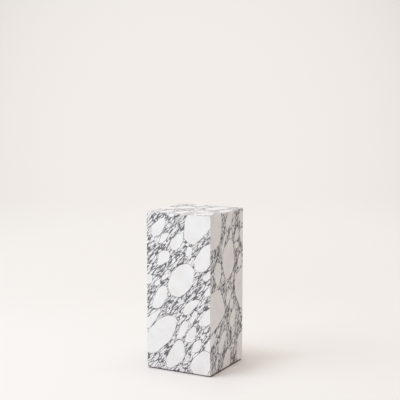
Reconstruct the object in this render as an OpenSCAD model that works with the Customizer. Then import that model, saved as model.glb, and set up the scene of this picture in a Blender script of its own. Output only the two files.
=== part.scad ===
// Stone display plinth: five mitred slabs round a plywood carcass that
// stands on four levelling feet, with a narrow shadow gap under the stone.
// Units are millimetres. +Z is up, and the origin is on the floor, below
// the middle of the plinth. The front faces -Y and the right side faces +X.

/* [Stone casing] */
// Outside width and depth of the casing
casing_w = 340; // [290:5:400]
// Height of the top face above the floor
total_h = 755; // [500:5:900]
// Thickness of the slabs
stone_t = 20; // [15:1:25]
// Chamfer along every outer edge of the stone
arris = 1.2; // [0.8:0.1:2.4]
// Room for the resin that each mitre leaves, measured along its slab
resin_shift = 0.3; // [0.1:0.1:0.6]
// Height of the lower stone edge above the floor
floor_gap = 6; // [3:0.5:8]

/* [Carcass] */
// Bond between the stone and the carcass
bond_t = 2; // [1:0.5:4]
// Thickness of the upright boards
board_t = 12; // [9:1:15]
// Thickness of the deck board under the top slab
deck_t = 18; // [15:1:24]
// Thickness of the base board
base_t = 24; // [22:1:30]
// Thickness of the brace halfway up
brace_t = 12; // [9:1:18]
// Diameter of the hole in the brace
brace_hole_d = 60; // [30:5:70]
// Side of the square corner battens
batten_w = 22; // [18:1:26]
// Play between the brace and what it fits between
joinery_clear = 0.3; // [0.1:0.1:0.6]

/* [Adhesive] */
// Width of an adhesive bead once pressed flat
bead_w = 14; // [8:1:20]
// Distance from the ends of a board to the ends of a bead
bead_end = 40; // [25:5:60]
// Distance from the side of the carcass to the outer beads
bead_inset = 40; // [30:1:60]

/* [Screws] */
// Diameter of a screw shank
screw_d = 4; // [3:0.5:4.5]
// Diameter of a countersunk head
screw_head_d = 8; // [7:0.5:9]
// Height of a countersunk head
screw_head_h = 2.4; // [2:0.2:3]
// Length of the point of a screw
screw_tip = 4; // [3:0.5:6]
// Depth of the cross recess in a head
recess_depth = 1.6; // [1:0.1:1.8]
// Length of each arm of the cross recess, end to end
recess_l = 4; // [3:0.2:4.6]
// Width of each arm of the cross recess
recess_w = 0.9; // [0.6:0.1:1.2]
// Length of the screws through the upright boards
side_screw_l = 28; // [24:1:32]
// Length of the screws through the deck board
deck_screw_l = 50; // [40:1:55]
// Length of the screws through the base board
base_screw_l = 60; // [45:1:70]
// Screws down each edge of a board
screw_rows = 4; // [3:1:6]
// Distance from the end of a board to its first screw
screw_end = 55; // [50:5:80]
// Drop of the side screws below the front and back ones
screw_stagger = 16; // [12:1:20]
// Distance from the middle of a board to each brace screw
brace_screw_x = 60; // [45:1:70]
// Distance from the middle of a board to each base screw
base_screw_x = 60; // [40:1:70]
// Play round a screw in its hole
screw_clear = 0.05; // [0.02:0.01:0.1]

/* [Levelling feet] */
// Distance from the side of the carcass to the axis of a foot
foot_inset = 32; // [30:1:45]
// Diameter of the foot pads
pad_d = 40; // [36:1:46]
// Height of a foot pad without its sole
pad_h = 10; // [9.5:0.5:13]
// Height of the upright rim of a pad
pad_rim = 2.5; // [2:0.5:4]
// Chamfer round the lower edge of a pad
pad_chamfer = 0.5; // [0.2:0.1:1]
// Wall of the collar round the stud at the top of a pad
pad_neck_wall = 4; // [3.5:0.5:5]
// Diameter of the rubber soles
sole_d = 34; // [28:1:34]
// Thickness of a sole
sole_t = 2.5; // [2:0.5:3]
// How far a sole stands out below its pad
sole_proud = 1; // [0.5:0.5:1.5]
// Play round a sole in its pad
sole_clear = 0.1; // [0.05:0.05:0.3]
// Wall of the pad between the sole and the stud head
pad_web = 1.4; // [1:0.2:2]
// Major diameter of the stud thread
stud_d = 8; // [6:1:10]
// Rise of the stud for each turn
stud_pitch = 1.25; // [1:0.25:1.5]
// Diameter of the head held in the pad
stud_head_d = 12; // [11:0.5:14]
// Height of that head
stud_head_h = 3; // [2.5:0.5:3.5]
// Diameter of the neck above the head
stud_neck_d = 7; // [5:0.5:8]
// Play of the head and neck in the pad
swivel_clear = 0.08; // [0.04:0.01:0.1]
// Size of the hexagon, across its flats
hex_af = 13; // [13:1:17]
// Height of the hexagon
hex_h = 5; // [4:0.5:7]
// Play between the hexagon and the pad
hex_clear = 0.3; // [0.2:0.1:0.6]
// Angle of the chamfer on the corners of the hexagon
hex_chamfer_angle = 30; // [20:5:40]
// Radial play of the stud in its tee nut
thread_clear = 0.05; // [0.02:0.01:0.09]

/* [Tee nuts] */
// Diameter of a tee nut flange
flange_d = 24; // [22:1:28]
// Thickness of a tee nut flange
flange_t = 1.5; // [1:0.25:2]
// Wall of a tee nut barrel
barrel_wall = 1.25; // [1:0.25:1.75]
// Length of a tee nut barrel above its flange
barrel_l = 12.5; // [10:0.5:14]
// Radial play of a barrel in the base board
barrel_clear = 0.05; // [0.02:0.01:0.1]
// Height of the prongs of a tee nut
prong_h = 7; // [5:0.5:9]
// Width of a prong where it leaves the flange
prong_w = 3; // [2:0.25:4]
// Thickness of a prong
prong_t = 1.2; // [0.8:0.1:1.5]
// Distance from the edge of the flange to its prongs
prong_edge = 1; // [0.5:0.25:1.5]
// Play between the hexagon and the flange with the foot fully in
stop_clear = 0.2; // [0.1:0.1:0.5]
// Play above the stud with the foot fully in
stud_end_clear = 1; // [0.5:0.5:2]

/* [Hidden] */
$fn = 48;

// How far a cutting shape reaches past the face that it cuts
past = 1;

// Casing: half its width outside and inside
outer = casing_w / 2;
stone_in = outer - stone_t;

// Levelling foot, from the floor up
pad_z = sole_proud;
pad_top = pad_z + pad_h;
socket_z = sole_t + pad_web;
head_z = socket_z + swivel_clear;
head_top = head_z + stud_head_h;
hex_z = pad_top + hex_clear;
hex_top = hex_z + hex_h;
flange_z = hex_top + stop_clear + floor_gap;
base_z = flange_z + flange_t;
base_top = base_z + base_t;
stud_top = base_top - floor_gap - stud_end_clear;
// A metric thread is this share of its pitch deep
thread_share = 0.613;
thread_depth = stud_pitch * thread_share;
hex_half_angle = 30;
barrel_bore_r = stud_d / 2 + thread_clear;
barrel_r = barrel_bore_r + barrel_wall;
dome_steps = 8;

// Carcass
half = stone_in - bond_t;
inner = half - board_t;
deck_top = total_h - stone_t - bond_t;
deck_z = deck_top - deck_t;
board_h = deck_z - base_top;
brace_z = base_top + (board_h - brace_t) / 2;
foot_x = half - foot_inset;
batten_mid = inner - batten_w / 2;
edge_mid = half - board_t / 2;
bead_x = half - bead_inset;

// Lowest screw of a side board, and the step from one row to the next
low_row = base_top + screw_end;
row_step = (board_h - screw_stagger - 2 * screw_end) / (screw_rows - 1);

// The corners as signs of X and Y, and the turn of each side from the front
front_left = [-1, -1];
front_right = [1, -1];
back_left = [-1, 1];
back_right = [1, 1];
corners = [front_left, front_right, back_left, back_right];
front_side = 0;
right_side = 90;
back_side = 180;
left_side = 270;
sides = [front_side, right_side, back_side, left_side];

stone_colour = [0.92, 0.91, 0.9];
resin_colour = [0.82, 0.8, 0.77];
ply_colour = [0.8, 0.66, 0.46];
batten_colour = [0.85, 0.7, 0.48];
bead_colour = [0.88, 0.87, 0.83];
zinc_colour = [0.72, 0.73, 0.74];
brass_colour = [0.74, 0.6, 0.32];
nylon_colour = [0.12, 0.12, 0.12];
rubber_colour = [0.2, 0.19, 0.19];

// Puts what is drawn at the front onto one of the four sides
module at_side(turn) rotate([0, 0, turn]) children();

// Puts what is drawn on the Z axis at one of the four corners
module at_corner(corner, distance) translate([corner.x * distance, corner.y * distance, 0]) children();

// Stone casing

// Section through a slab: the outer face lies on the X axis with the slab
// below it, and both ends are mitred, less the resin, and chamfered outside.
module slab_section() {
    flat_x = outer - arris;
    tip_x = outer - (arris + resin_shift) / 2;
    tip_y = -(arris - resin_shift) / 2;
    back_x = stone_in - resin_shift;
    polygon([
        [-flat_x, 0], [flat_x, 0], [tip_x, tip_y],
        [back_x, -stone_t], [-back_x, -stone_t], [-tip_x, tip_y]
    ]);
}

// Upright section through a side slab, in Y and Z: chamfered at its lower
// edge, and mitred to meet the top slab.
module slab_profile() {
    polygon([
        [-outer + arris, floor_gap], [-outer, floor_gap + arris], [-outer, total_h - arris],
        [-outer + (arris - resin_shift) / 2, total_h - (arris + resin_shift) / 2],
        [-stone_in, total_h - stone_t - resin_shift], [-stone_in, floor_gap]
    ]);
}

// Carries a section in Y and Z along the whole width of the casing and past it
module along_x() rotate([90, 0, 90]) linear_extrude(casing_w + 2 * past, center = true) children();

module side_panel() {
    color(stone_colour) intersection() {
        linear_extrude(total_h) translate([0, -outer]) mirror([0, 1]) slab_section();
        along_x() slab_profile();
    }
}

module top_panel() {
    color(stone_colour) intersection() {
        along_x() translate([0, total_h]) slab_section();
        at_side(right_side) along_x() translate([0, total_h]) slab_section();
    }
}

// The whole casing as one block with every outer edge chamfered
module casing_block() {
    intersection() {
        linear_extrude(total_h) polygon(chamfered(-outer, outer, -outer, outer));
        along_x() polygon(chamfered(-outer, outer, floor_gap, total_h));
        at_side(right_side) along_x() polygon(chamfered(-outer, outer, floor_gap, total_h));
    }
}

// Corner points of a rectangle whose corners are cut by the arris
function chamfered(x0, x1, y0, y1) = [
    [x0 + arris, y0], [x1 - arris, y0], [x1, y0 + arris], [x1, y1 - arris],
    [x1 - arris, y1], [x0 + arris, y1], [x0, y1 - arris], [x0, y0 + arris]
];

// An inverted pyramid whose sides are the mitres of the top slab, set down or
// up from their middle by a shift.
module above_mitres(shift) {
    reach = outer + past;
    apex = total_h - outer + shift;
    intersection() {
        along_x() polygon([[0, apex], [reach, apex + reach], [-reach, apex + reach]]);
        at_side(right_side) along_x() polygon([[0, apex], [reach, apex + reach], [-reach, apex + reach]]);
    }
}

// Upright sheet between the mitres of two opposite corners
module mitre_sheet() {
    reach = outer + past;
    linear_extrude(total_h) polygon([
        [-reach, -reach - resin_shift], [reach, reach - resin_shift],
        [reach, reach + resin_shift], [-reach, -reach + resin_shift]
    ]);
}

// One thin sheet in each mitre, flush with the casing inside and outside
module mitre_resin() {
    color(resin_colour) difference() {
        intersection() {
            casing_block();
            union() {
                for (turn = [front_side, right_side]) at_side(turn) mitre_sheet();
                above_mitres(-resin_shift);
            }
        }
        above_mitres(resin_shift);
        translate([-stone_in, -stone_in, 0]) cube([2 * stone_in, 2 * stone_in, total_h - stone_t]);
    }
}

// Screws

// A countersunk screw with the top of its head at z = 0 and its point up.
// With play it is the hole for that screw, open above the head.
module screw(length, play = 0) {
    head_r = screw_head_d / 2 + play;
    shank_r = screw_d / 2 + play;
    difference() {
        rotate_extrude() polygon([
            [0, play > 0 ? -past : 0], [head_r, play > 0 ? -past : 0], [head_r, 0],
            [shank_r, screw_head_h + play], [shank_r, length - screw_tip + play], [0, length + 2 * play]
        ]);
        if (play == 0) cross_recess();
    }
}

module cross_recess() {
    for (turn = [0, 90])
        rotate([0, 0, turn])
            translate([-recess_l / 2, -recess_w / 2, -past]) cube([recess_l, recess_w, recess_depth + past]);
}

// A screw through the front board
module board_screw(x, z, play) {
    translate([x, -half, z]) rotate([-90, 0, 0]) screw(side_screw_l, play);
}

// Rows of screws through the front board into its battens. The rise keeps
// them clear of the screws from the boards at the sides.
module batten_screws(rise, play = 0) {
    for (x = [-batten_mid, batten_mid], row = [0 : screw_rows - 1])
        board_screw(x, low_row + rise + row * row_step, play);
}

// Screws through the front board into the brace
module brace_screws(play = 0) {
    for (x = [-brace_screw_x, brace_screw_x]) board_screw(x, brace_z + brace_t / 2, play);
}

// Screws down through the deck board into the battens
module deck_screws(play = 0) {
    for (corner = corners) at_corner(corner, batten_mid)
        translate([0, 0, deck_top]) rotate([180, 0, 0]) screw(deck_screw_l, play);
}

// Screws up through the base board into the lower edge of the front board
module edge_screws(play = 0) {
    for (x = [-base_screw_x, base_screw_x]) translate([x, -edge_mid, base_z]) screw(base_screw_l, play);
}

module carcass_screws() {
    color(brass_colour) {
        for (turn = [front_side, back_side]) at_side(turn) batten_screws(screw_stagger);
        for (turn = [right_side, left_side]) at_side(turn) batten_screws(0);
        for (turn = sides) at_side(turn) brace_screws();
        deck_screws();
    }
}

module base_screws() color(brass_colour) for (turn = sides) at_side(turn) edge_screws();

// Carcass

// A board drawn as the front one, with its length along X
module upright_board(length, rise) {
    color(ply_colour) difference() {
        translate([-length / 2, -half, base_top]) cube([length, board_t, board_h]);
        batten_screws(rise, screw_clear);
        brace_screws(screw_clear);
        edge_screws(screw_clear);
    }
}

// Boards at the front and back, as wide as the carcass
module long_board() upright_board(2 * half, screw_stagger);

// Boards at the sides, held between the long ones
module short_board() upright_board(2 * inner, 0);

module deck_board() {
    color(ply_colour) difference() {
        translate([-half, -half, deck_z]) cube([2 * half, 2 * half, deck_t]);
        deck_screws(screw_clear);
    }
}

module base_board() {
    color(ply_colour) difference() {
        translate([-half, -half, base_z]) cube([2 * half, 2 * half, base_t]);
        for (turn = sides) at_side(turn) edge_screws(screw_clear);
        for (corner = corners) at_corner(corner, foot_x) {
            translate([0, 0, base_z - past]) cylinder(h = base_t + 2 * past, r = barrel_r + barrel_clear);
            tee_nut_prongs();
        }
    }
}

// Plate that keeps the upright boards straight, notched round the battens
module mid_brace() {
    reach = inner - joinery_clear;
    notch = batten_w + joinery_clear;
    color(ply_colour) difference() {
        translate([-reach, -reach, brace_z]) cube([2 * reach, 2 * reach, brace_t]);
        for (corner = corners) at_corner(corner, inner)
            translate([-notch, -notch, brace_z - past]) cube([2 * notch, 2 * notch, brace_t + 2 * past]);
        translate([0, 0, brace_z - past]) cylinder(h = brace_t + 2 * past, d = brace_hole_d);
        for (turn = sides) at_side(turn) brace_screws(screw_clear);
    }
}

// Square batten in a corner, drilled for the two boards that meet there
module batten(corner) {
    color(batten_colour) difference() {
        at_corner(corner, batten_mid)
            translate([-batten_w / 2, -batten_w / 2, base_top]) cube([batten_w, batten_w, board_h]);
        at_side(corner.y < 0 ? front_side : back_side) batten_screws(screw_stagger, screw_clear);
        at_side(corner.x < 0 ? left_side : right_side) batten_screws(0, screw_clear);
        deck_screws(screw_clear);
    }
}

// Adhesive

// A bead with round ends, drawn flat along Y and pressed to the bond
module bead(length) {
    straight = length - bead_w;
    linear_extrude(bond_t) {
        square([bead_w, straight], center = true);
        for (end = [-straight / 2, straight / 2]) translate([0, end]) circle(d = bead_w);
    }
}

module adhesive_beads() {
    side_l = deck_z - base_top - 2 * bead_end;
    side_mid = (deck_z + base_top) / 2;
    deck_l = 2 * half - 2 * bead_end;
    color(bead_colour) for (x = [-bead_x, 0, bead_x]) {
        for (turn = sides) at_side(turn) translate([x, -half, side_mid]) rotate([90, 0, 0]) bead(side_l);
        translate([x, 0, deck_top]) bead(deck_l);
    }
}

// Levelling feet and their nuts

// Prongs bent up from the flange of a tee nut, each a tapered tooth
module tee_nut_prongs() {
    for (turn = sides) rotate([0, 0, turn])
        translate([flange_d / 2 - prong_edge, 0, base_z]) rotate([90, 0, -90])
            linear_extrude(prong_t) polygon([[-prong_w / 2, 0], [prong_w / 2, 0], [0, prong_h]]);
}

module tee_nut() {
    difference() {
        union() {
            translate([0, 0, flange_z]) cylinder(h = flange_t, d = flange_d);
            translate([0, 0, flange_z]) cylinder(h = flange_t + barrel_l, r = barrel_r);
            tee_nut_prongs();
        }
        translate([0, 0, flange_z - past]) cylinder(h = flange_t + barrel_l + 2 * past, r = barrel_bore_r);
    }
}

module tee_nuts() color(zinc_colour) for (corner = corners) at_corner(corner, foot_x) tee_nut();

// A domed disc: the pocket below takes the sole, and the socket inside holds
// the head of the stud, with the neck passing up through the collar.
module foot_pad() {
    pad_r = pad_d / 2;
    pocket_r = sole_d / 2 + sole_clear;
    neck_r = stud_neck_d / 2 + swivel_clear;
    socket_r = stud_head_d / 2 + swivel_clear;
    collar_r = neck_r + pad_neck_wall;
    rim_z = pad_z + pad_rim;
    dome = [
        for (step = [0 : dome_steps])
            let (angle = 90 * step / dome_steps)
                [collar_r + (pad_r - collar_r) * cos(angle), rim_z + (pad_top - rim_z) * sin(angle)]
    ];
    color(nylon_colour) rotate_extrude() polygon(concat(
        [[0, sole_t], [pocket_r, sole_t], [pocket_r, pad_z], [pad_r - pad_chamfer, pad_z],
            [pad_r, pad_z + pad_chamfer]],
        dome,
        [[neck_r, pad_top], [neck_r, head_top + swivel_clear], [socket_r, head_top + swivel_clear],
            [socket_r, socket_z], [0, socket_z]]
    ));
}

module foot_sole() color(rubber_colour) cylinder(h = sole_t, d = sole_d);

// Hexagon with its corners turned down above and below
module stud_hexagon() {
    flat_r = hex_af / 2;
    corner_r = flat_r / cos(hex_half_angle);
    drop = (corner_r - flat_r) * tan(hex_chamfer_angle);
    intersection() {
        translate([0, 0, hex_z]) cylinder(h = hex_h, r = corner_r, $fn = 6);
        rotate_extrude() polygon([
            [0, hex_z], [flat_r, hex_z], [corner_r, hex_z + drop],
            [corner_r, hex_top - drop], [flat_r, hex_top], [0, hex_top]
        ]);
    }
}

module foot_stud() {
    stud_r = stud_d / 2;
    head_r = stud_head_d / 2;
    neck_r = stud_neck_d / 2;
    color(zinc_colour) union() {
        rotate_extrude() polygon([
            [0, head_z], [head_r, head_z], [head_r, head_top], [neck_r, head_top], [neck_r, hex_z],
            [neck_r, hex_z + hex_h / 2], [stud_r, hex_z + hex_h / 2],
            [stud_r, stud_top - thread_depth], [stud_r - thread_depth, stud_top], [0, stud_top]
        ]);
        stud_hexagon();
    }
}

at_side(front_side) side_panel();  // front_panel
at_side(right_side) side_panel();  // right_panel
at_side(back_side) side_panel();  // back_panel
at_side(left_side) side_panel();  // left_panel
top_panel();
mitre_resin();
at_side(front_side) long_board();  // front_board
at_side(right_side) short_board();  // right_board
at_side(back_side) long_board();  // back_board
at_side(left_side) short_board();  // left_board
deck_board();
base_board();
mid_brace();
batten(front_left);  // batten_front_left
batten(front_right);  // batten_front_right
batten(back_left);  // batten_back_left
batten(back_right);  // batten_back_right
adhesive_beads();
carcass_screws();
base_screws();
tee_nuts();
at_corner(front_left, foot_x) foot_pad();  // pad_front_left
at_corner(front_right, foot_x) foot_pad();  // pad_front_right
at_corner(back_left, foot_x) foot_pad();  // pad_back_left
at_corner(back_right, foot_x) foot_pad();  // pad_back_right
at_corner(front_left, foot_x) foot_sole();  // sole_front_left
at_corner(front_right, foot_x) foot_sole();  // sole_front_right
at_corner(back_left, foot_x) foot_sole();  // sole_back_left
at_corner(back_right, foot_x) foot_sole();  // sole_back_right
at_corner(front_left, foot_x) foot_stud();  // stud_front_left
at_corner(front_right, foot_x) foot_stud();  // stud_front_right
at_corner(back_left, foot_x) foot_stud();  // stud_back_left
at_corner(back_right, foot_x) foot_stud();  // stud_back_right
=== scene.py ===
import math
import random

import bpy
import numpy as np
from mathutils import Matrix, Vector


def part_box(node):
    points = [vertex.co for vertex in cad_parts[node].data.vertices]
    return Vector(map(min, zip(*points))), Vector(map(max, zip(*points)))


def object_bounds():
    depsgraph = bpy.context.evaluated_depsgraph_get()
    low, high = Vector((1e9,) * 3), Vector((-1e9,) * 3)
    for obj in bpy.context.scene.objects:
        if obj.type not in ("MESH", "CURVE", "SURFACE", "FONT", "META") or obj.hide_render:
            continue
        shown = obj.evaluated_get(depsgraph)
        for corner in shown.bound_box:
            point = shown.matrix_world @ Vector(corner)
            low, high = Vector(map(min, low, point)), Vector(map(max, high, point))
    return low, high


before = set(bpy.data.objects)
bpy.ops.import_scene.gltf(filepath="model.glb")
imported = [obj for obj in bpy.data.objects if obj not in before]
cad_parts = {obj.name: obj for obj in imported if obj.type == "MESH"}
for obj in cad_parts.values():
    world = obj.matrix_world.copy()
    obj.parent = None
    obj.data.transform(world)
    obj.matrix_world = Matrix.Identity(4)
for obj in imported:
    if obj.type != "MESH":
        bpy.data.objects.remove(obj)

cad_low, cad_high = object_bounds()
MM = 0.001

# Sizes taken from the frame
HALF = cad_high[0]
STONE_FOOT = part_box("front_panel")[0][2]
CASING_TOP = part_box("top_panel")[1][2]
SLAB_HEIGHT = (CASING_TOP - STONE_FOOT) / MM

# Camera
NEAR_X = 47.9 * MM          # from the camera's axis rightwards to the stone's near bottom corner
NEAR_DEPTH = 4386.1 * MM    # from the camera forwards, on the level, to that corner
CAMERA_RISE = 1390.8 * MM   # height over the stone's lower edge
CAMERA_YAW = math.radians(28.21)
CAMERA_PITCH = math.radians(7.34)
FOCAL_SHARE = 975.3 / 400   # focal length as a share of the picture's width
SENSOR = 36.0
SIGHT = 100                 # how far the camera sees


def place_camera():
    """Stands the camera so that the near corner falls where the yaw, depth and offset say."""
    sin_yaw, cos_yaw = math.sin(CAMERA_YAW), math.cos(CAMERA_YAW)
    data = bpy.data.cameras.new("camera")
    data.sensor_width = SENSOR
    data.lens = FOCAL_SHARE * SENSOR
    data.clip_end = SIGHT
    camera = bpy.data.objects.new("camera", data)
    camera.location = (HALF - NEAR_X * cos_yaw + NEAR_DEPTH * sin_yaw,
                       -HALF - NEAR_X * sin_yaw - NEAR_DEPTH * cos_yaw,
                       STONE_FOOT + CAMERA_RISE)
    camera.rotation_euler = (math.pi / 2 - CAMERA_PITCH, 0, CAMERA_YAW)
    bpy.context.scene.collection.objects.link(camera)
    bpy.context.scene.camera = camera
    bpy.context.scene.view_settings.view_transform = "Standard"


place_camera()


# Node helpers

def linear(red, green, blue):
    """Turns an 8-bit screen colour into the linear colour that a shader takes."""
    def one(value):
        share = value / 255
        return share / 12.92 if share <= 0.04045 else ((share + 0.055) / 1.055) ** 2.4
    return (one(red), one(green), one(blue), 1.0)


def add(tree, kind, inputs=None, **settings):
    """Adds a node. Each input is a plain value or another node's output socket."""
    node = tree.nodes.new(kind)
    for name, value in settings.items():
        setattr(node, name, value)
    for key, value in (inputs or {}).items():
        if isinstance(value, bpy.types.NodeSocket):
            tree.links.new(value, node.inputs[key])
        else:
            node.inputs[key].default_value = value
    return node


def calc(tree, operation, *values):
    """A Math node's result."""
    return add(tree, "ShaderNodeMath", dict(enumerate(values)), operation=operation).outputs[0]


def vector(tree, operation, *values):
    """A Vector Math node's result: a number for lengths and dot products, else a vector."""
    node = add(tree, "ShaderNodeVectorMath", dict(enumerate(values)), operation=operation)
    return node.outputs["Value" if operation in ("LENGTH", "DOT_PRODUCT") else "Vector"]


def object_point(tree):
    """A point of the piece, in metres."""
    return add(tree, "ShaderNodeTexCoord").outputs["Object"]


def joined(tree, *values):
    """A vector made of up to three numbers."""
    return add(tree, "ShaderNodeCombineXYZ", dict(enumerate(values))).outputs[0]


def split(tree, value):
    """The three numbers of a vector."""
    return add(tree, "ShaderNodeSeparateXYZ", {0: value}).outputs


def ease(tree, value, low, high, to_low=0.0, to_high=1.0):
    """Maps a value smoothly from one range to another, held at its ends."""
    node = add(tree, "ShaderNodeMapRange", {0: value, 1: low, 2: high, 3: to_low, 4: to_high},
               interpolation_type="SMOOTHSTEP")
    return node.outputs[0]


def blend(tree, share, first, second):
    """Mixes two colours."""
    node = add(tree, "ShaderNodeMix", {0: share, 6: first, 7: second}, data_type="RGBA")
    return node.outputs[2]


def grain(tree, point, size, detail=2.0, roughness=0.5, colour=False):
    """Soft noise with features of the given size, as a number or as three."""
    node = add(tree, "ShaderNodeTexNoise",
               {"Vector": point, "Scale": 1.0 / size, "Detail": detail, "Roughness": roughness})
    return node.outputs["Color" if colour else "Fac"]


def shaken(tree, point, *layers):
    """Moves a point by noise, so that what is drawn there wavers. Each layer gives the size of the
    waves, about how far they reach, and the detail in them."""
    for size, reach, detail in layers:
        noise = vector(tree, "SUBTRACT", grain(tree, point, size, detail, colour=True), (0.5,) * 3)
        point = vector(tree, "MULTIPLY_ADD", noise, (2 * reach,) * 3, point)
    return point


def stretched(tree, point, sizes, tilt=0.0):
    """Point in a frame turned by the tilt in its own plane, and measured in the given sizes."""
    node = add(tree, "ShaderNodeMapping", {"Vector": point, "Rotation": (0, 0, tilt), "Scale": sizes},
               vector_type="TEXTURE")
    return node.outputs[0]


def group(name, inputs, outputs):
    """Starts a node group with the named sockets: its tree, and its input node's sockets."""
    tree = bpy.data.node_groups.new(name, "ShaderNodeTree")
    for in_out, sockets in (("INPUT", inputs), ("OUTPUT", outputs)):
        for label, kind in sockets.items():
            tree.interface.new_socket(label, in_out=in_out, socket_type=kind)
    return tree, tree.nodes.new("NodeGroupInput").outputs


def finish_group(tree, *results):
    """Ends a node group with its results, in the order of its outputs."""
    add(tree, "NodeGroupOutput", dict(enumerate(results)))
    return tree


def use_group(tree, made, inputs):
    """The outputs of a node that uses a group."""
    return add(tree, "ShaderNodeGroup", inputs, node_tree=made).outputs


def new_material(name, **shader_values):
    """A material with one shader whose uniform values are set on its own sockets."""
    material = bpy.data.materials.new(name)
    material.use_nodes = True
    tree = material.node_tree
    shader = tree.nodes["Principled BSDF"]
    for socket, value in shader_values.items():
        shader.inputs[socket.replace("_", " ")].default_value = value
    return material, tree, shader


# Marble

# Every length here is in millimetres, on a slab's own face: X runs along the slab or along the
# grain, Y up it or across the grain, and Z into the stone.
NUMBER, POINT, COLOUR = "NodeSocketFloat", "NodeSocketVector", "NodeSocketColor"
FAR = 60.0               # nothing is counted as further than this from a pebble
ROUNDING = 0.05          # reach of the rounding at a pebble's corners, as a share of its width
ROUNDING_GAIN = 1 / 8    # of that reach, taken off again for what the smoothing adds

CLUMP_SHAPE = (0.7, 1.3, 0)   # how much a length along the grain and across it counts in a clump
CLUMP_FADE = (0.4, 1.4)       # shares of its reach at which a clump starts to fade and has faded
MOST_CRUSHED = 0.72           # in a clump's middle

# Size, reach and detail of the waves in the pebbles' outlines, and in the pieces between them
FACE_WAVES = ((60.0, 3.0, 1.0), (22.0, 2.2, 1.0), (8.0, 1.1, 2.0))
GRAIN_WAVES = ((55.0, 8.0, 1.0), (9.0, 1.2, 2.0))
INWARD_SLANT = (0.5, 0.3)     # how far an outline shifts along and up for each length inwards

PATCH_SIZES = (70.0, 28.0, 50.0)         # more and less crushed patches
PATCH_RANGE = (0.35, 0.75, 0.06, 0.38)   # the noise there, and how crushed it makes the stone
LARGE_PIECES = (60.0, 11.5, 36.0)        # length, width and layer of the long pieces
SMALL_PIECES = (30.0, 7.5, 24.0)         # and of the ones that they are broken into
SWELLING_SIZES = (23.0, 6.5, 12.0)       # places where the veins swell
SWELLING_RANGE = (0.37, 0.63, 0.35, 1.65)   # the noise there, and what it multiplies a vein's width by
STREAK_SIZES = (27.0, 5.0, 20.0)         # loose dark streaks
VEIN_SOFT = 0.3                          # softness of a vein's edge
RIM_PLACE, RIM_SOFT = 0.8, 0.5           # the line round a pebble: its place outside, and softness
RIM_SIZE = 17.0                          # of the stretches where that line is thick or thin
TONE_SIZE = 11.0                         # of the darker and paler stretches of vein
CLOUD_SIZE = 55.0

STONE_ROUGH, VEIN_ROUGH = 0.3, 0.08      # roughness of the white, and what a vein adds to it
STONE_SPECULAR = 0.35                    # honed, so a little under the usual 0.5
STONE_BUMP, STONE_BUMP_DEPTH = 0.05, 0.3 * MM


def pebble_group(corners):
    """Distance to the outline of one pebble, negative inside it, or that to the nearest pebble so
    far where that is less. The corners run anticlockwise, and the point's Z is 1, so that each
    side needs one dot product. The greatest of the distances to the sides is taken, smoothed."""
    tree, given = group("pebble", {"Point": POINT, "Nearest": NUMBER}, {"Nearest": NUMBER})
    rounding = ROUNDING * (max(x for x, y in corners) - min(x for x, y in corners))
    distance = None
    for (x0, y0), (x1, y1) in zip(corners, corners[1:] + corners[:1]):
        length = math.hypot(x1 - x0, y1 - y0)
        out_x, out_y = (y1 - y0) / length, (x0 - x1) / length
        side = vector(tree, "DOT_PRODUCT", given["Point"], (out_x, out_y, -out_x * x0 - out_y * y0))
        distance = side if distance is None else calc(tree, "SMOOTH_MAX", distance, side, rounding)
    distance = calc(tree, "SUBTRACT", distance, rounding * ROUNDING_GAIN)
    return finish_group(tree, calc(tree, "MINIMUM", distance, given["Nearest"]))


def clump_group():
    """How crushed the stone is: the amount so far, or that of one clump where it is more. A clump
    reaches nearly twice as far along the grain, which is the point's X, as across it."""
    tree, given = group("clump", {"Point": POINT, "Middle": POINT, "Reach": NUMBER, "Crushed": NUMBER},
                        {"Crushed": NUMBER})
    away = vector(tree, "SUBTRACT", given["Point"], given["Middle"])
    away = vector(tree, "LENGTH", vector(tree, "MULTIPLY", away, CLUMP_SHAPE))
    share = calc(tree, "DIVIDE", away, given["Reach"])
    crushed = ease(tree, share, *CLUMP_FADE, MOST_CRUSHED, 0.0)
    return finish_group(tree, calc(tree, "MAXIMUM", given["Crushed"], crushed))


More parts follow.
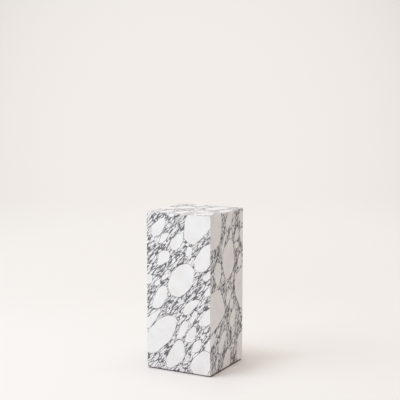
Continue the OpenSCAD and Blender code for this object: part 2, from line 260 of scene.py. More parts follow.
def marble_group():
    """Colour, roughness and height of the stone at a point, from the distance to the nearest
    pebble. Between the pebbles lie long pieces with a thin vein round each, which are broken into
    small ones with broader veins where the stone is crushed. The veins swell and thin out along
    their way, and loose streaks lie among them. The point's X runs along the grain."""
    tree, given = group("marble", {"Point": POINT, "Nearest": NUMBER, "Crushed": NUMBER, "Depth": NUMBER},
                        {"Colour": COLOUR, "Roughness": NUMBER, "Height": NUMBER})
    point, nearest, depth = given["Point"], given["Nearest"], given["Depth"]
    wavering = shaken(tree, point, *GRAIN_WAVES)

    def pieces(length, width, layer):
        """Cells that wrap round the pebbles layer by layer: the distance to a cell's edge, and
        random numbers for each cell."""
        cells = vector(tree, "DIVIDE", wavering, (length, width, width))
        lift = add(tree, "ShaderNodeCombineXYZ", {"Z": calc(tree, "DIVIDE", nearest, layer)}).outputs[0]
        spot = {"Vector": vector(tree, "ADD", cells, lift), "Scale": 1.0}
        edge = add(tree, "ShaderNodeTexVoronoi", spot, feature="DISTANCE_TO_EDGE")
        cell = add(tree, "ShaderNodeTexVoronoi", spot, feature="F1")
        chance = add(tree, "ShaderNodeSeparateColor", {0: cell.outputs["Color"]}).outputs
        return calc(tree, "MULTIPLY", edge.outputs["Distance"], width), chance

    def vein(distance, width, soft):
        """1 where the distance is less than the width, and 0 beyond it."""
        return ease(tree, calc(tree, "SUBTRACT", distance, width), -soft, soft, 1.0, 0.0)

    patches = grain(tree, stretched(tree, point, PATCH_SIZES), 1.0, 2.0, 0.55)
    crushed = calc(tree, "MAXIMUM", given["Crushed"], ease(tree, patches, *PATCH_RANGE))
    large, large_chance = pieces(*LARGE_PIECES)
    small, small_chance = pieces(*SMALL_PIECES)
    swelling = grain(tree, stretched(tree, point, SWELLING_SIZES), 1.0, 1.0)
    swelling = ease(tree, swelling, *SWELLING_RANGE)

    large_width = calc(tree, "MULTIPLY_ADD", crushed, 0.7, 1.1)
    large_width = calc(tree, "MULTIPLY_ADD", large_chance[0], large_width, 0.52)
    large_vein = vein(large, calc(tree, "MULTIPLY", large_width, swelling), VEIN_SOFT)
    broken = ease(tree, calc(tree, "MULTIPLY_ADD", large_chance[1], 0.7, crushed), 0.6, 1.2)
    small_width = calc(tree, "MULTIPLY", calc(tree, "MULTIPLY_ADD", small_chance[0], 0.95, 0.15), broken)
    small_vein = vein(small, calc(tree, "MULTIPLY", small_width, swelling), VEIN_SOFT)
    small_vein = calc(tree, "MULTIPLY", small_vein, ease(tree, broken, 0.0, 0.4))
    streak = grain(tree, stretched(tree, wavering, STREAK_SIZES), 1.0, 1.0, 0.6)
    streak = calc(tree, "MULTIPLY", ease(tree, streak, 0.55, 0.59), ease(tree, crushed, 0.05, 0.5, 0.1, 0.6))
    outside = ease(tree, nearest, -0.4, RIM_PLACE)
    veins = calc(tree, "MAXIMUM", streak, calc(tree, "MAXIMUM", large_vein, small_vein))
    veins = calc(tree, "MULTIPLY", veins, outside)
    rim = calc(tree, "ABSOLUTE", calc(tree, "SUBTRACT", nearest, RIM_PLACE))
    rim_width = ease(tree, grain(tree, point, RIM_SIZE), 0.3, 0.7, 0.1, 1.0)
    rim = vein(rim, calc(tree, "MULTIPLY_ADD", crushed, 0.6, rim_width), RIM_SOFT)
    veins = calc(tree, "MULTIPLY", calc(tree, "MAXIMUM", veins, rim), depth)

    greyed = calc(tree, "MULTIPLY", outside, ease(tree, crushed, 0.2, 0.9, 0.0, 0.2))
    greyed = calc(tree, "MULTIPLY", ease(tree, small_chance[1], 0.5, 1.0), greyed)
    greyed = calc(tree, "MULTIPLY", greyed, depth)
    cloud = ease(tree, grain(tree, point, CLOUD_SIZE, 4.0, 0.6), 0.35, 0.7)
    white = blend(tree, greyed, blend(tree, cloud, WHITE_STONE, CLOUDED_STONE), GREYED_STONE)
    tone = blend(tree, ease(tree, grain(tree, point, TONE_SIZE, 3.0), 0.35, 0.65), DARK_VEIN, PALE_VEIN)
    return finish_group(tree, blend(tree, veins, white, tone),
                        calc(tree, "MULTIPLY_ADD", veins, VEIN_ROUGH, STONE_ROUGH),
                        calc(tree, "MULTIPLY", veins, -1.0))


WHITE_STONE = linear(236, 236, 236)
CLOUDED_STONE = linear(231, 229, 228)
GREYED_STONE = linear(186, 184, 192)
DARK_VEIN = linear(50, 49, 60)
PALE_VEIN = linear(96, 94, 105)
MARBLE = marble_group()
CLUMP = clump_group()


def slab_material(name, face_frame, pebbles, clumps, tilt, depth):
    """Marble for one slab. The face's frame holds the directions along, up and out of the outer
    face and the place of its lower left corner, from which the pebbles' corners and the middles of
    the clumps are measured. The tilt is the grain's, and the depth that of the veins' colour."""
    along, up, outward, corner = (Vector(part) for part in face_frame)
    material, tree, shader = new_material(name, Specular_IOR_Level=STONE_SPECULAR)
    place = vector(tree, "SUBTRACT", object_point(tree), corner)
    axes = [vector(tree, "DOT_PRODUCT", place, axis / MM) for axis in (along, up, -outward)]
    face = joined(tree, *axes)
    uneven = split(tree, shaken(tree, face, *FACE_WAVES))
    slanted = [calc(tree, "MULTIPLY_ADD", uneven[2], slant, uneven[axis])
               for axis, slant in enumerate(INWARD_SLANT)]
    point = joined(tree, *slanted, 1.0)
    nearest = FAR
    for corners in pebbles:
        nearest = use_group(tree, pebble_group(corners), {"Point": point, "Nearest": nearest})[0]

    turn = math.radians(tilt)
    grained = stretched(tree, face, (1, 1, 1), turn)
    crushed = 0.0
    for x, y, reach in clumps:
        middle = (x * math.cos(turn) + y * math.sin(turn), y * math.cos(turn) - x * math.sin(turn), 0)
        crushed = use_group(tree, CLUMP, {"Point": grained, "Middle": middle, "Reach": reach,
                                          "Crushed": crushed})[0]
    made = use_group(tree, MARBLE, {"Point": grained, "Nearest": nearest, "Crushed": crushed,
                                    "Depth": depth})
    tree.links.new(made["Colour"], shader.inputs["Base Color"])
    tree.links.new(made["Roughness"], shader.inputs["Roughness"])
    bump = add(tree, "ShaderNodeBump",
               {"Strength": STONE_BUMP, "Distance": STONE_BUMP_DEPTH, "Height": made["Height"]})
    tree.links.new(bump.outputs[0], shader.inputs["Normal"])
    return material


# Pebbles of the front slab, in millimetres from its left edge and from its foot
FRONT_PEBBLES = [
    [(202, 640), (226, 618), (256, 613), (290, 643), (345, 702), (345, 765), (232, 765), (206, 722)],
    [(26, 645), (37, 631), (66, 643), (81, 656), (99, 692), (101, 718), (94, 727), (74, 722), (24, 680)],
    [(66, 603), (84, 606), (102, 620), (118, 643), (121, 656), (104, 657), (80, 648)],
    [(128, 590), (138, 579), (156, 577), (176, 592), (197, 626), (196, 664), (174, 658), (148, 638),
     (128, 610)],
    [(54, 505), (66, 499), (92, 509), (112, 522), (123, 542), (124, 562), (113, 573), (90, 574), (70, 556)],
    [(257, 540), (256, 512), (263, 495), (279, 487), (302, 489), (322, 502), (338, 525), (350, 560),
     (350, 620), (333, 620), (300, 602), (278, 575)],
    [(115, 408), (118, 384), (132, 369), (152, 359), (178, 360), (203, 374), (228, 400), (246, 426),
     (254, 462), (252, 496), (240, 512), (222, 521), (196, 517), (166, 501), (140, 470), (121, 440)],
    [(27, 306), (36, 292), (56, 290), (78, 303), (94, 326), (110, 352), (113, 382), (104, 400), (80, 402),
     (58, 384), (45, 352)],
    [(-20, 140), (-20, 72), (24, 68), (60, 84), (88, 110), (126, 143), (144, 178), (163, 246), (148, 264),
     (112, 262), (58, 235), (24, 196)],
    [(103, 40), (106, 16), (120, 8), (136, 14), (162, 32), (188, 50), (204, 76), (206, 92), (200, 134),
     (188, 150), (170, 150), (148, 132), (128, 98), (110, 66)],
    [(236, 48), (233, 26), (246, 6), (262, -12), (310, -12), (330, 14), (345, 45), (345, 104), (322, 118),
     (304, 118), (276, 98), (250, 72)],
    [(197, 300), (200, 282), (212, 276), (232, 288), (252, 308), (284, 345), (284, 353),
     (262, 354), (232, 342), (208, 322)],
    [(277, 244), (288, 234), (310, 231), (350, 256), (350, 325), (325, 313), (302, 286), (284, 262)],
    [(158, 158), (178, 156), (193, 168), (207, 186), (220, 208), (224, 234), (214, 248), (198, 243),
     (182, 222)],
    [(204, 152), (224, 146), (243, 153), (258, 170), (266, 200), (264, 224), (250, 228), (232, 208),
     (216, 186)],
    [(240, 104), (262, 104), (278, 112), (290, 130), (296, 150), (290, 166), (274, 164), (256, 150),
     (246, 130)],
    [(-12, 185), (10, 190), (28, 210), (46, 234), (62, 258), (74, 284), (70, 292), (44, 274), (22, 258),
     (-12, 225)],
    [(300, 452), (316, 446), (350, 470), (350, 500), (330, 493), (312, 478), (302, 466)],
    [(210, 556), (222, 553), (240, 566), (247, 585), (243, 600), (222, 602), (216, 590), (212, 570)],
    [(-12, 405), (10, 402), (26, 412), (30, 440), (22, 452), (-12, 450)],
    [(40, 404), (56, 400), (70, 410), (73, 428), (60, 428), (45, 418)],
    [(306, 384), (312, 372), (350, 388), (350, 425), (332, 418), (316, 402)],
    [(312, 124), (330, 116), (350, 124), (350, 180), (332, 172), (318, 150)],
    [(232, 240), (244, 238), (256, 258), (270, 282), (272, 300), (258, 300), (246, 285), (236, 262)],
    [(78, 432), (90, 432), (108, 442), (122, 458), (118, 466), (98, 460), (84, 450)],
    [(120, 742), (124, 732), (146, 736), (162, 756), (128, 760)],
]
# Crushed clumps of the front slab: the same two places, and the reach
FRONT_CLUMPS = [
    (102, 670, 26), (155, 705, 20), (192, 742, 14), (184, 672, 14), (6, 722, 10), (90, 745, 12),
    (60, 580, 15), (20, 568, 8), (35, 620, 10), (195, 582, 20), (160, 555, 14), (265, 580, 16),
    (300, 640, 14), (332, 630, 18), (10, 528, 12), (208, 534, 18), (196, 518, 14), (65, 475, 14),
    (92, 485, 10), (90, 425, 14), (118, 436, 16), (282, 462, 16), (334, 440, 10), (35, 370, 16),
    (130, 290, 22), (96, 306, 14), (196, 358, 18), (150, 350, 12), (15, 290, 14), (266, 318, 14),
    (325, 352, 9), (160, 198, 16), (155, 175, 12), (285, 196, 8), (200, 170, 10), (118, 122, 20),
    (78, 42, 14), (222, 106, 20), (215, 12, 10), (160, 20, 18), (205, 268, 10), (300, 118, 18),
    (145, 490, 10),
]
# Pebbles of the right slab, from its near edge and from its foot
RIGHT_PEBBLES = [
    [(-20, 600), (10, 588), (50, 594), (78, 604), (96, 628), (106, 660), (112, 700), (112, 735),
     (102, 760), (-20, 760)],
    [(156, 690), (158, 668), (172, 662), (190, 674), (212, 702), (228, 735), (236, 760), (182, 760),
     (160, 712)],
    [(112, 575), (120, 560), (134, 580), (150, 612), (170, 658), (158, 656), (138, 634),
     (122, 606)],
    [(124, 540), (124, 495), (138, 462), (152, 436), (172, 426), (196, 434), (232, 462), (244, 496),
     (240, 550), (230, 596), (214, 616), (186, 612), (148, 586), (130, 564)],
    [(42, 490), (46, 452), (58, 424), (72, 410), (86, 418), (100, 440), (108, 470), (108, 500), (96, 518),
     (72, 524), (54, 512)],
    [(-20, 380), (-20, 200), (20, 200), (52, 212), (100, 236), (132, 256), (150, 278), (147, 296),
     (136, 326), (118, 356), (98, 388), (60, 396), (24, 390)],
    [(250, 395), (258, 356), (272, 322), (290, 292), (312, 262), (350, 250), (350, 462), (330, 458),
     (300, 446), (266, 432)],
    [(203, 232), (201, 208), (210, 190), (226, 182), (242, 190), (252, 206), (264, 232), (266, 254),
     (254, 272), (238, 270), (218, 256)],
    [(160, 340), (162, 316), (170, 300), (180, 304), (194, 318), (208, 334), (214, 352), (208, 370),
     (190, 374), (172, 362)],
    [(200, 312), (200, 282), (210, 274), (228, 278), (240, 292), (236, 312), (224, 326), (208, 324)],
    [(82, 124), (84, 92), (98, 82), (114, 90), (134, 114), (164, 162), (166, 176), (148, 184),
     (124, 178), (102, 150)],
    [(132, 30), (130, 4), (146, -12), (196, -12), (206, 20), (210, 58), (202, 78), (186, 86), (166, 76),
     (146, 56)],
    [(274, 60), (280, 20), (296, -12), (350, -12), (350, 150), (326, 140), (300, 128), (280, 104)],
    [(247, 612), (256, 600), (276, 602), (288, 618), (294, 640), (288, 655), (270, 655), (256, 640)],
    [(196, 622), (212, 618), (222, 632), (220, 655), (206, 660), (196, 648)],
    [(254, 575), (262, 558), (280, 562), (292, 578), (284, 592), (262, 592)],
    [(282, 490), (286, 468), (306, 462), (326, 474), (330, 500), (324, 526), (306, 530), (290, 514)],
    [(-20, 178), (-20, 134), (16, 136), (34, 148), (50, 172), (54, 188), (36, 192), (10, 188)],
    [(70, 180), (84, 176), (98, 196), (100, 214), (86, 212), (74, 198)],
    [(54, 20), (68, 12), (78, 40), (80, 70), (70, 76), (60, 56)],
    [(206, 408), (222, 402), (236, 416), (236, 432), (220, 430)],
    [(228, 106), (240, 100), (248, 114), (246, 130), (234, 128)],
    [(226, 82), (240, 76), (252, 88), (248, 98), (234, 96)],
    [(294, 716), (300, 692), (322, 678), (350, 680), (350, 735), (312, 738)],
    [(302, 640), (306, 604), (322, 582), (350, 588), (350, 650), (320, 656)],
]
# Crushed clumps of the right slab
RIGHT_CLUMPS = [
    (136, 712, 20), (108, 620, 20), (85, 575, 24), (62, 562, 10), (92, 534, 16), (150, 600, 14),
    (172, 616, 10), (228, 640, 8), (212, 672, 12), (268, 722, 18), (30, 502, 14), (50, 425, 10),
    (8, 440, 10), (15, 378, 12), (150, 425, 12), (124, 380, 28), (245, 475, 22), (270, 492, 22),
    (315, 545, 20), (236, 368, 10), (142, 322, 10), (172, 262, 26), (115, 212, 20), (98, 176, 16),
    (215, 150, 18), (205, 116, 24), (15, 118, 14), (60, 78, 10), (35, 45, 14), (90, 30, 24),
    (112, 40, 10), (224, 44, 24), (218, 8, 16), (255, 30, 22), (262, 318, 16), (285, 268, 16),
    (318, 165, 10), (60, 205, 10),
]
# Pebbles of the top slab, from its left edge and from its front
TOP_PEBBLES = [
    [(48, 200), (66, 180), (100, 184), (128, 214), (134, 246), (112, 264), (74, 258), (52, 232)],
    [(140, 236), (152, 226), (172, 250), (180, 290), (168, 304), (150, 280)],
    [(190, 226), (206, 200), (244, 204), (276, 246), (284, 296), (256, 322), (220, 300), (198, 262)],
    [(192, 108), (212, 88), (244, 104), (256, 142), (238, 168), (206, 150)],
    [(-20, 150), (-20, 116), (24, 126), (52, 158), (56, 190), (36, 204), (8, 190)],
    [(292, 176), (316, 160), (360, 180), (360, 244), (330, 246), (302, 216)],
    [(126, 44), (140, 20), (164, 30), (180, 74), (176, 112), (156, 116), (134, 84)],
    [(40, 52), (62, 24), (92, 36), (104, 74), (94, 104), (66, 98)],
    [(226, 38), (250, 12), (290, 22), (318, 62), (312, 96), (280, 96), (246, 72)],
    [(84, 300), (104, 284), (134, 306), (142, 336), (120, 346), (94, 330)],
]


# Pebbles and clumps of a slab that the photograph doesn't show, in the order they are made
PEBBLE_TRIES, CLUMP_TRIES = 900, 600
LEAST_LENGTH, LENGTH_SPAN = 17, 82   # half a pebble's length: the least, and the most above it
RING_CORNERS = 10
OVERHANG = 15                        # how far past the slab's edge a pebble's middle may lie
LEAST_ROOM, CLUMP_SPACING = 7, 34    # round a clump's middle, and between two clumps


def beyond(corners, points):
    """How far each point lies outside a pebble: the greatest of its distances to the sides' lines."""
    start = np.array(corners)
    side = np.roll(start, -1, axis=0) - start
    outward = np.stack([side[:, 1], -side[:, 0]], axis=1) / np.linalg.norm(side, axis=1, keepdims=True)
    offset = np.asarray(points, dtype=float)[:, None, :] - start[None, :, :]
    return (offset * outward).sum(axis=2).max(axis=1)


def powered(value, power):
    """The value's size raised to the power, with the value's sign."""
    return math.copysign(abs(value) ** power, value)


def scattered(seed, tilt):
    """Pebbles and clumps for an upright slab that the photograph doesn't show. The pebbles are tried
    at random from the largest down, each a ring of uneven corners on the curve
    |x / length| ^ power + |y / width| ^ power = 1, and kept where they clear the others. The clumps
    lie in the widest spaces that are left."""
    throw = random.Random(seed)
    width = 2 * HALF / MM
    pebbles, clumps = [], []
    for attempt in range(PEBBLE_TRIES):
        length = LEAST_LENGTH + LENGTH_SPAN * (1 - attempt / PEBBLE_TRIES) ** 3
        breadth = length * throw.uniform(0.42, 0.7)
        power = throw.uniform(1.35, 2.1)
        lean = math.radians(tilt + throw.uniform(-9, 9))
        middle = np.array([throw.uniform(-OVERHANG, width + OVERHANG),
                           throw.uniform(-OVERHANG, SLAB_HEIGHT + OVERHANG)])
        angles = [math.tau * (step + throw.uniform(-0.25, 0.25)) / RING_CORNERS
                  for step in range(RING_CORNERS)]
        u = [length * powered(math.cos(angle), 2 / power) for angle in angles]
        v = [breadth * powered(math.sin(angle), 2 / power) for angle in angles]
        corners = [(middle[0] + p * math.cos(lean) - q * math.sin(lean),
                    middle[1] + p * math.sin(lean) + q * math.cos(lean)) for p, q in zip(u, v)]
        ring = np.array(corners)
        dense = np.concatenate([ring, (ring + np.roll(ring, 1, axis=0)) / 2, [middle]])
        clear = throw.uniform(4, 10) + 0.16 * length
        if all(beyond(other, dense).min() > clear and beyond(corners, other).min() > clear
               for other in pebbles):
            pebbles.append(corners)
    for _ in range(CLUMP_TRIES):
        place = (throw.uniform(0, width), throw.uniform(0, SLAB_HEIGHT))
        room = min(beyond(corners, [place])[0] for corners in pebbles)
        if room > LEAST_ROOM and all(math.dist(place, clump[:2]) > CLUMP_SPACING for clump in clumps):
            clumps.append((*place, 10 + room * throw.uniform(0.5, 1.0)))
    return pebbles, clumps


def dress(node, material):
    """Gives a CAD node one material."""
    mesh = bpy.data.objects[node].data
    mesh.materials.clear()
    mesh.materials.append(material)


# Directions along, up and out of each outer face, and the place of its lower left corner
UP = (0, 0, 1)
FACES = {
    "front": ((1, 0, 0), UP, (0, -1, 0), (-HALF, -HALF, STONE_FOOT)),
    "right": ((0, 1, 0), UP, (1, 0, 0), (HALF, -HALF, STONE_FOOT)),
    "back": ((-1, 0, 0), UP, (0, 1, 0), (HALF, HALF, STONE_FOOT)),
    "left": ((0, -1, 0), UP, (-1, 0, 0), (-HALF, HALF, STONE_FOOT)),
    "top": ((1, 0, 0), (0, 1, 0), UP, (-HALF, -HALF, CASING_TOP)),
}
BACK_SEED, LEFT_SEED = 5, 31
# Each slab's pebbles and clumps, the tilt of its grain in degrees, and its veins' depth of colour
SLABS = [
    ("front", FRONT_PEBBLES, FRONT_CLUMPS, 48, 0.915),
    ("right", RIGHT_PEBBLES, RIGHT_CLUMPS, 60, 1.0),
    ("back", *scattered(BACK_SEED, 50), 50, 0.95),
    ("left", *scattered(LEFT_SEED, 52), 52, 0.92),
    ("top", TOP_PEBBLES, [], 50, 0.84),
]
for side, pebbles, clumps, tilt, depth in SLABS:
    dress(f"{side}_panel", slab_material(f"marble_{side}", FACES[side], pebbles, clumps, tilt, depth))


# Pieces inside the casing and under it, with lengths in millimetres again

FIGURE_SIZES = (420.0, 34.0, 60.0)   # of a veneer's figure: along the grain, across it, inwards
PORE_SIZES = (16.0, 0.7, 4.0)
FIBRE_SIZES = (3.0, 3.0, 0.4)        # of the fibres on a board's edge
SAWN_WAVES = (60.0, 5.0, 2.0)        # of a batten's grain
PINE_HEART = (60.0, -85.0, 0)
ALONG_HEART = 0.012                  # how little the rings change along the heart
RING_WIDTH = 3.1
WOOD_STREAKS = (1.2, 1.2, 60.0)
STUD_PITCH = 1.25
HEX_TOP = 16.3                       # height of the hexagon's top over the floor
THREAD_DEPTH, SOLE_RING_DEPTH = 1.4, 0.4
SOLE_RING = 1.6                      # from one ring on a sole to the next
FOOT_LOW, FOOT_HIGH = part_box("sole_front_right")
FOOT_X = FOOT_LOW[0] / MM / 2 + FOOT_HIGH[0] / MM / 2

VENEER_LIGHT, VENEER_DARK = linear(216, 184, 136), linear(190, 151, 102)
END_GRAIN, GLUE = linear(164, 122, 80), linear(112, 76, 46)
PINE_LIGHT, PINE_DARK = linear(226, 194, 142), linear(186, 132, 78)
ZINC_LIGHT, ZINC_DARK = linear(210, 213, 218), linear(180, 184, 190)
RUBBER_LIGHT, RUBBER_DARK = linear(62, 60, 60), linear(44, 43, 43)
BRASS_LIGHT, BRASS_DARK = linear(222, 186, 112), linear(196, 154, 84)
NYLON_DARK, NYLON_LIGHT = linear(34, 34, 36), linear(46, 46, 48)
PUTTY_LIGHT, PUTTY_DARK = linear(226, 223, 213), linear(208, 204, 192)
RESIN_LIGHT, RESIN_DARK = linear(222, 218, 212), linear(198, 193, 188)


def object_mm(tree):
    """A point of the piece, in millimetres."""
    return vector(tree, "DIVIDE", object_point(tree), (MM, MM, MM))


def relief(tree, shader, height, strength, depth, under=None):
    """A bump of the given depth in millimetres, over another one where that is given."""
    inputs = {"Strength": strength, "Distance": depth * MM, "Height": height}
    if under is not None:
        inputs["Normal"] = under
    normal = add(tree, "ShaderNodeBump", inputs).outputs[0]
    tree.links.new(normal, shader.inputs["Normal"])
    return normal


def speckled(name, size, first, second, bump_size, bump, rough, **values):
    """A material that wanders between two colours and between two roughnesses, with a fine grain:
    its parts and the bump's result."""
    material, tree, shader = new_material(name, **values)
    point = object_mm(tree)
    share = ease(tree, grain(tree, point, size, 3.0, 0.6), 0.3, 0.7)
    tree.links.new(blend(tree, share, first, second), shader.inputs["Base Color"])
    wander = ease(tree, grain(tree, point, size / 3), 0.3, 0.7, *rough)
    tree.links.new(wander, shader.inputs["Roughness"])
    normal = relief(tree, shader, grain(tree, point, bump_size), bump, 0.2)
    return material, tree, shader, point, normal


def plywood(node, plies):
    """Birch plywood for one board: a streaked veneer on the two faces, and on the edges the plies,
    of which every other one shows its end grain, with a dark line of glue between them."""
    low, high = (np.array(end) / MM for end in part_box(node))
    sizes = high - low
    through = int(np.argmin(sizes))
    along = int(np.argmax(sizes))
    axes = [np.eye(3)[axis] for axis in (along, 3 - along - through, through)]
    material, tree, shader = new_material(f"plywood_{node}", Roughness=0.6)
    point = vector(tree, "SUBTRACT", object_mm(tree), low)
    u, v, w = (vector(tree, "DOT_PRODUCT", point, axis) for axis in axes)
    normal = add(tree, "ShaderNodeTexCoord").outputs["Normal"]
    turned = [calc(tree, "ABSOLUTE", vector(tree, "DOT_PRODUCT", normal, axis)) for axis in axes]

    face = joined(tree, u, v, w)
    figure = shaken(tree, stretched(tree, face, FIGURE_SIZES), (0.8, 0.25, 2.0))
    figure = grain(tree, figure, 1.0, 3.0, 0.55)
    pores = grain(tree, stretched(tree, face, PORE_SIZES), 1.0, 2.0, 0.6)
    veneer = blend(tree, ease(tree, figure, 0.35, 0.65), VENEER_LIGHT, VENEER_DARK)
    veneer = blend(tree, ease(tree, pores, 0.56, 0.72, 0.0, 0.35), veneer, GLUE)

    layer = calc(tree, "DIVIDE", w, sizes[through] / plies)
    odd = calc(tree, "MODULO", calc(tree, "FLOOR", layer), 2.0)
    odd = calc(tree, "ABSOLUTE", calc(tree, "SUBTRACT", odd, ease(tree, turned[0], 0.4, 0.6)))
    fibre = grain(tree, stretched(tree, face, FIBRE_SIZES), 1.0, 2.0, 0.6)
    edge = blend(tree, odd, VENEER_LIGHT, END_GRAIN)
    edge = blend(tree, ease(tree, fibre, 0.4, 0.75, 0.0, 0.4), edge, GLUE)
    from_middle = calc(tree, "ABSOLUTE", calc(tree, "SUBTRACT", calc(tree, "FRACT", layer), 0.5))
    edge = blend(tree, ease(tree, from_middle, 0.38, 0.47, 0.0, 0.7), edge, GLUE)

    on_edge = ease(tree, turned[2], 0.4, 0.6, 1.0, 0.0)
    tree.links.new(blend(tree, on_edge, veneer, edge), shader.inputs["Base Color"])
    height = calc(tree, "MAXIMUM", calc(tree, "MULTIPLY", on_edge, fibre), calc(tree, "MULTIPLY", pores, 0.6))
    relief(tree, shader, height, 0.3, 0.3)
    return material


def pine():
    """Sawn softwood, cut far from the heart: rings round one upright heart between the battens, pale
    in their spring wood and darker where each ends, with streaks along the grain."""
    material, tree, shader = new_material("pine", Roughness=0.62)
    point = shaken(tree, object_mm(tree), SAWN_WAVES)
    flat = vector(tree, "MULTIPLY", vector(tree, "SUBTRACT", point, PINE_HEART), (1, 1, ALONG_HEART))
    ring = calc(tree, "FRACT", calc(tree, "DIVIDE", vector(tree, "LENGTH", flat), RING_WIDTH))
    late = calc(tree, "MULTIPLY", ease(tree, ring, 0.35, 0.9), ease(tree, ring, 0.93, 0.99, 1.0, 0.0))
    streak = grain(tree, stretched(tree, point, WOOD_STREAKS), 1.0, 3.0, 0.6)
    wood = blend(tree, calc(tree, "MULTIPLY", late, 0.75), PINE_LIGHT, PINE_DARK)
    wood = blend(tree, ease(tree, streak, 0.4, 0.75, 0.0, 0.35), wood, GLUE)
    tree.links.new(wood, shader.inputs["Base Color"])
    relief(tree, shader, calc(tree, "MULTIPLY_ADD", streak, 0.7, late), 0.3, 0.25)
    return material


def from_axis(tree, point):
    """A point's place from the axis of the levelling foot nearest to it."""
    feet = vector(tree, "MULTIPLY", vector(tree, "SIGN", point), (FOOT_X, FOOT_X, 0))
    return split(tree, vector(tree, "SUBTRACT", point, feet))


def zinc_thread():
    """Zinc plate with a right-hand thread on the stem over the hexagon: the height at a point is
    half of 1 - |2 fract(z / pitch - angle / full turn) - 1|."""
    material, tree, shader, point, plate = speckled("zinc_thread", 2.0, ZINC_LIGHT, ZINC_DARK, 0.6, 0.1,
                                                    (0.26, 0.4), Metallic=1.0)
    x, y, z = from_axis(tree, point)
    angle = calc(tree, "DIVIDE", calc(tree, "ARCTAN2", y, x), math.tau)
    turn = calc(tree, "FRACT", calc(tree, "SUBTRACT", calc(tree, "DIVIDE", z, STUD_PITCH), angle))
    ridge = calc(tree, "MULTIPLY", calc(tree, "PINGPONG", turn, 0.5), ease(tree, z, HEX_TOP, HEX_TOP + 0.3))
    relief(tree, shader, ridge, 1.0, THREAD_DEPTH, plate)
    return material


def ringed_rubber():
    """Rubber with moulded rings round the foot's axis, against slipping."""
    material, tree, shader, point, skin = speckled("rubber", 3.0, RUBBER_LIGHT, RUBBER_DARK, 0.4, 0.4,
                                                   (0.75, 0.9))
    x, y, _ = from_axis(tree, point)
    square = calc(tree, "ADD", calc(tree, "POWER", x, 2.0), calc(tree, "POWER", y, 2.0))
    ring = calc(tree, "DIVIDE", calc(tree, "SQRT", square), SOLE_RING)
    ring = ease(tree, calc(tree, "PINGPONG", ring, 0.5), 0.12, 0.25)
    relief(tree, shader, ring, 1.0, SOLE_RING_DEPTH, skin)
    return material


BOARDS = {"front_board": 9, "right_board": 9, "back_board": 9, "left_board": 9, "mid_brace": 9,
          "deck_board": 13, "base_board": 17}
for board, plies in BOARDS.items():
    dress(board, plywood(board, plies))

BRASS = speckled("brass_plate", 3.0, BRASS_LIGHT, BRASS_DARK, 0.5, 0.1, (0.28, 0.42), Metallic=1.0)[0]
ZINC = speckled("zinc_plate", 2.0, ZINC_LIGHT, ZINC_DARK, 0.6, 0.1, (0.26, 0.42), Metallic=1.0)[0]
NYLON = speckled("nylon", 6.0, NYLON_DARK, NYLON_LIGHT, 0.35, 0.35, (0.38, 0.52))[0]
PUTTY = speckled("adhesive", 9.0, PUTTY_LIGHT, PUTTY_DARK, 1.8, 0.7, (0.55, 0.75))[0]
RESIN = speckled("mitre_resin", 2.0, RESIN_LIGHT, RESIN_DARK, 0.3, 0.2, (0.3, 0.4))[0]
for node, made in (("carcass_screws", BRASS), ("base_screws", BRASS), ("tee_nuts", ZINC),
                   ("adhesive_beads", PUTTY), ("mitre_resin", RESIN)):
    dress(node, made)

PINE, THREADED, RUBBER = pine(), zinc_thread(), ringed_rubber()
for corner in ("front_left", "front_right", "back_left", "back_right"):
    for kind, made in (("batten", PINE), ("stud", THREADED), ("pad", NYLON), ("sole", RUBBER)):
        dress(f"{kind}_{corner}", made)


# Stage, in metres

STAGE_HEADING = CAMERA_YAW        # the sheet faces the picture, and stays so in other views
FLOOR_FRONT, FLOOR_BACK = 9.0, 1.5
SWEEP_RADIUS, WALL_TOP, SHEET_HALF = 2.2, 6.0, 9.0
SWEEP_POINTS = 33

PAPER = linear(238, 234, 231)
# Painted shade: dark brown put on the paper under the plinth, so that the gap under the stone looks dark
PAINTED_GAP_SHADE = linear(128, 92, 62)
FLOOR_GLOW = linear(251, 247, 243)
WALL_GLOW = linear(243, 238, 234)
GAP_SHADE_SET_BACK = 7.0 * MM         # of the brown patch of painted shade behind the front face, where light falls in
GAP_SHADE_EDGE = 2.0 * MM             # over which the painted shade patch ends
FRONT_FADE = (-0.5, 1.0, 0.03, 0.0)   # the paper is a little dimmer in front of the plinth
WALL_GLOW_FROM, WALL_SHARE_FROM = 0.5, 0.4   # heights from which both are the wall's
WALL_SHARE = 0.92                 # of the wall, how much is its own brightness
NEAR_SHARE = (0.168, 0.2, 0.0, 0.08)  # of the floor, the first rise, just outside the plinth's foot
FAR_SHARE = (0.16, 0.47, 0.0, 0.56)   # and the second, from there to where it stops rising
VIGNETTE_MIDDLE = 1.0             # height of the brightest place of the wall
VIGNETTE_HALF, VIGNETTE_RISE = 1.64, 1.6
FALL_RATE = 0.055                 # fall in brightness at those distances from it
MOST_FALL = 0.12                  # which is reached at the picture's upper corners


def stage_sheet(name, profile, half_width, heading):
    """A sheet: a profile of (distance, height) carried sideways, turned to the heading."""
    profile = np.array(profile)
    across = np.array([-half_width, half_width])
    forward = np.array([-math.sin(heading), math.cos(heading)])
    right = np.array([math.cos(heading), math.sin(heading)])
    level = profile[:, None, :1] * forward + across[None, :, None] * right
    heights = np.broadcast_to(profile[:, None, 1:], (len(profile), 2, 1))
    verts = np.concatenate([level, heights], axis=2).reshape(-1, 3)
    first = np.arange(len(profile) - 1) * 2
    faces = np.stack([first, first + 1, first + 3, first + 2], axis=1)
    mesh = bpy.data.meshes.new(name)
    mesh.from_pydata(verts.tolist(), [], faces.tolist())
    mesh.shade_smooth()
    sheet = bpy.data.objects.new(name, mesh)
    bpy.context.scene.collection.objects.link(sheet)
    return sheet


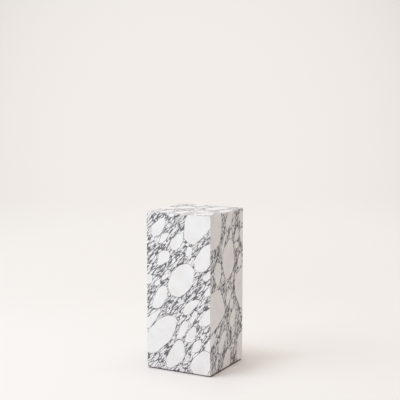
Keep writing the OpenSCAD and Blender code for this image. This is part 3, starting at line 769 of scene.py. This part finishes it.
def sweep_profile(front, start, radius, top):
    """Flat floor, then a quarter circle up to a wall."""
    angles = np.linspace(0, math.pi / 2, SWEEP_POINTS)
    arc = np.stack([start + radius * np.sin(angles), radius * (1 - np.cos(angles))], axis=1)
    return [(-front, 0.0), *arc.tolist(), (start + radius, top)]


def shown_or_mirrored(tree):
    """1 where the camera sees something straight, by reflection or through glass, and the sockets of
    the path that tell it."""
    path = add(tree, "ShaderNodeLightPath").outputs
    seen = calc(tree, "MAXIMUM", path["Is Camera Ray"], path["Is Glossy Ray"])
    return calc(tree, "MAXIMUM", seen, path["Is Transmission Ray"]), path


def paper_material():
    """Pale paper, with a dark brown patch of painted shade that only the gap under the plinth shows.
    What the camera and reflections see of the paper is partly its own even brightness, less so near
    the plinth, where the floor keeps its shadow. From below, the camera looks through it."""
    material, tree, shader = new_material("backdrop_paper", Roughness=0.9, Specular_IOR_Level=0.0)
    place = object_point(tree)
    right = (math.cos(STAGE_HEADING), math.sin(STAGE_HEADING), 0)
    onward = (-math.sin(STAGE_HEADING), math.cos(STAGE_HEADING), 0)
    sideways = calc(tree, "DIVIDE", vector(tree, "DOT_PRODUCT", place, right), VIGNETTE_HALF)
    in_front = ease(tree, vector(tree, "DOT_PRODUCT", place, onward), *FRONT_FADE)
    height = split(tree, place)[2]
    rise = calc(tree, "DIVIDE", calc(tree, "SUBTRACT", height, VIGNETTE_MIDDLE), VIGNETTE_RISE)
    wall = ease(tree, height, 0.0, WALL_GLOW_FROM)
    away = calc(tree, "ADD", calc(tree, "POWER", sideways, 2.0), calc(tree, "POWER", rise, 2.0))
    fall = calc(tree, "MULTIPLY", calc(tree, "POWER", away, 2.0), FALL_RATE)
    fall = calc(tree, "MULTIPLY", calc(tree, "MINIMUM", fall, MOST_FALL), wall)
    glow = blend(tree, wall, FLOOR_GLOW, WALL_GLOW)
    level = calc(tree, "SUBTRACT", calc(tree, "SUBTRACT", 1.0, in_front), fall)
    own = add(tree, "ShaderNodeEmission", {"Color": glow, "Strength": level}).outputs[0]

    # Painted shade: a dark brown patch on the paper under the plinth, seen only through the gap, which it
    # darkens
    aside = split(tree, vector(tree, "ABSOLUTE", place))
    over = calc(tree, "MAXIMUM", aside[0], calc(tree, "ADD", aside[1], GAP_SHADE_SET_BACK))
    brown = ease(tree, over, HALF - GAP_SHADE_EDGE, HALF, 1.0, 0.0)
    tree.links.new(blend(tree, brown, PAPER, PAINTED_GAP_SHADE), shader.inputs["Base Color"])

    beside = calc(tree, "MAXIMUM", aside[0], aside[1])
    floor_share = calc(tree, "ADD", ease(tree, beside, *NEAR_SHARE), ease(tree, beside, *FAR_SHARE))
    more = calc(tree, "SUBTRACT", WALL_SHARE, floor_share)
    share = calc(tree, "MULTIPLY_ADD", ease(tree, height, 0.0, WALL_SHARE_FROM), more, floor_share)
    seen, path = shown_or_mirrored(tree)
    share = calc(tree, "MULTIPLY", seen, share)
    mixed = add(tree, "ShaderNodeMixShader", {0: share, 1: shader.outputs[0], 2: own}).outputs[0]
    behind = add(tree, "ShaderNodeNewGeometry").outputs["Backfacing"]
    below = calc(tree, "MULTIPLY", path["Is Camera Ray"], behind)
    clear = add(tree, "ShaderNodeBsdfTransparent").outputs[0]
    mixed = add(tree, "ShaderNodeMixShader", {0: below, 1: mixed, 2: clear}).outputs[0]
    tree.links.new(mixed, tree.nodes["Material Output"].inputs["Surface"])
    return material


backdrop = stage_sheet("backdrop", sweep_profile(FLOOR_FRONT, FLOOR_BACK, SWEEP_RADIUS, WALL_TOP),
                       SHEET_HALF, STAGE_HEADING)
backdrop.data.materials.append(paper_material())


# Light

def soft_lamp(name, azimuth, elevation, distance, size, power, colour):
    """A square lamp that faces the middle of the plinth. Azimuth 0 is in front, 90 is to the right."""
    a, e = math.radians(azimuth), math.radians(elevation)
    aim = Vector((0, 0, CASING_TOP / 2))
    away = Vector((math.sin(a) * math.cos(e), -math.cos(a) * math.cos(e), math.sin(e)))
    data = bpy.data.lights.new(name, "AREA")
    data.size = size
    data.energy = power
    data.color = colour
    lamp = bpy.data.objects.new(name, data)
    lamp.location = aim + away * distance
    lamp.rotation_euler = away.to_track_quat("Z", "Y").to_euler()
    bpy.context.scene.collection.objects.link(lamp)


def light_world(colour, strength, shown):
    """An even sky. What the camera and reflections see instead of it is the backdrop's own colour,
    as dark as the wall's far ends."""
    world = bpy.data.worlds.new("world")
    bpy.context.scene.world = world
    world.use_nodes = True
    tree = world.node_tree
    sky = tree.nodes["Background"]
    sky.inputs["Color"].default_value = colour
    sky.inputs["Strength"].default_value = strength
    own = add(tree, "ShaderNodeBackground", {"Color": shown, "Strength": 1.0 - MOST_FALL}).outputs[0]
    seen = shown_or_mirrored(tree)[0]
    mixed = add(tree, "ShaderNodeMixShader", {0: seen, 1: sky.outputs[0], 2: own}).outputs[0]
    tree.links.new(mixed, tree.nodes["World Output"].inputs["Surface"])


soft_lamp("key", azimuth=-42, elevation=36, distance=4.5, size=3.0, power=112, colour=(0.87, 0.995, 1.1))
soft_lamp("overhead", azimuth=0, elevation=89, distance=3.0, size=2.0, power=24, colour=(1.0, 1.0, 1.0))
light_world(colour=(1.0, 0.915, 0.868, 1), strength=0.615, shown=WALL_GLOW)
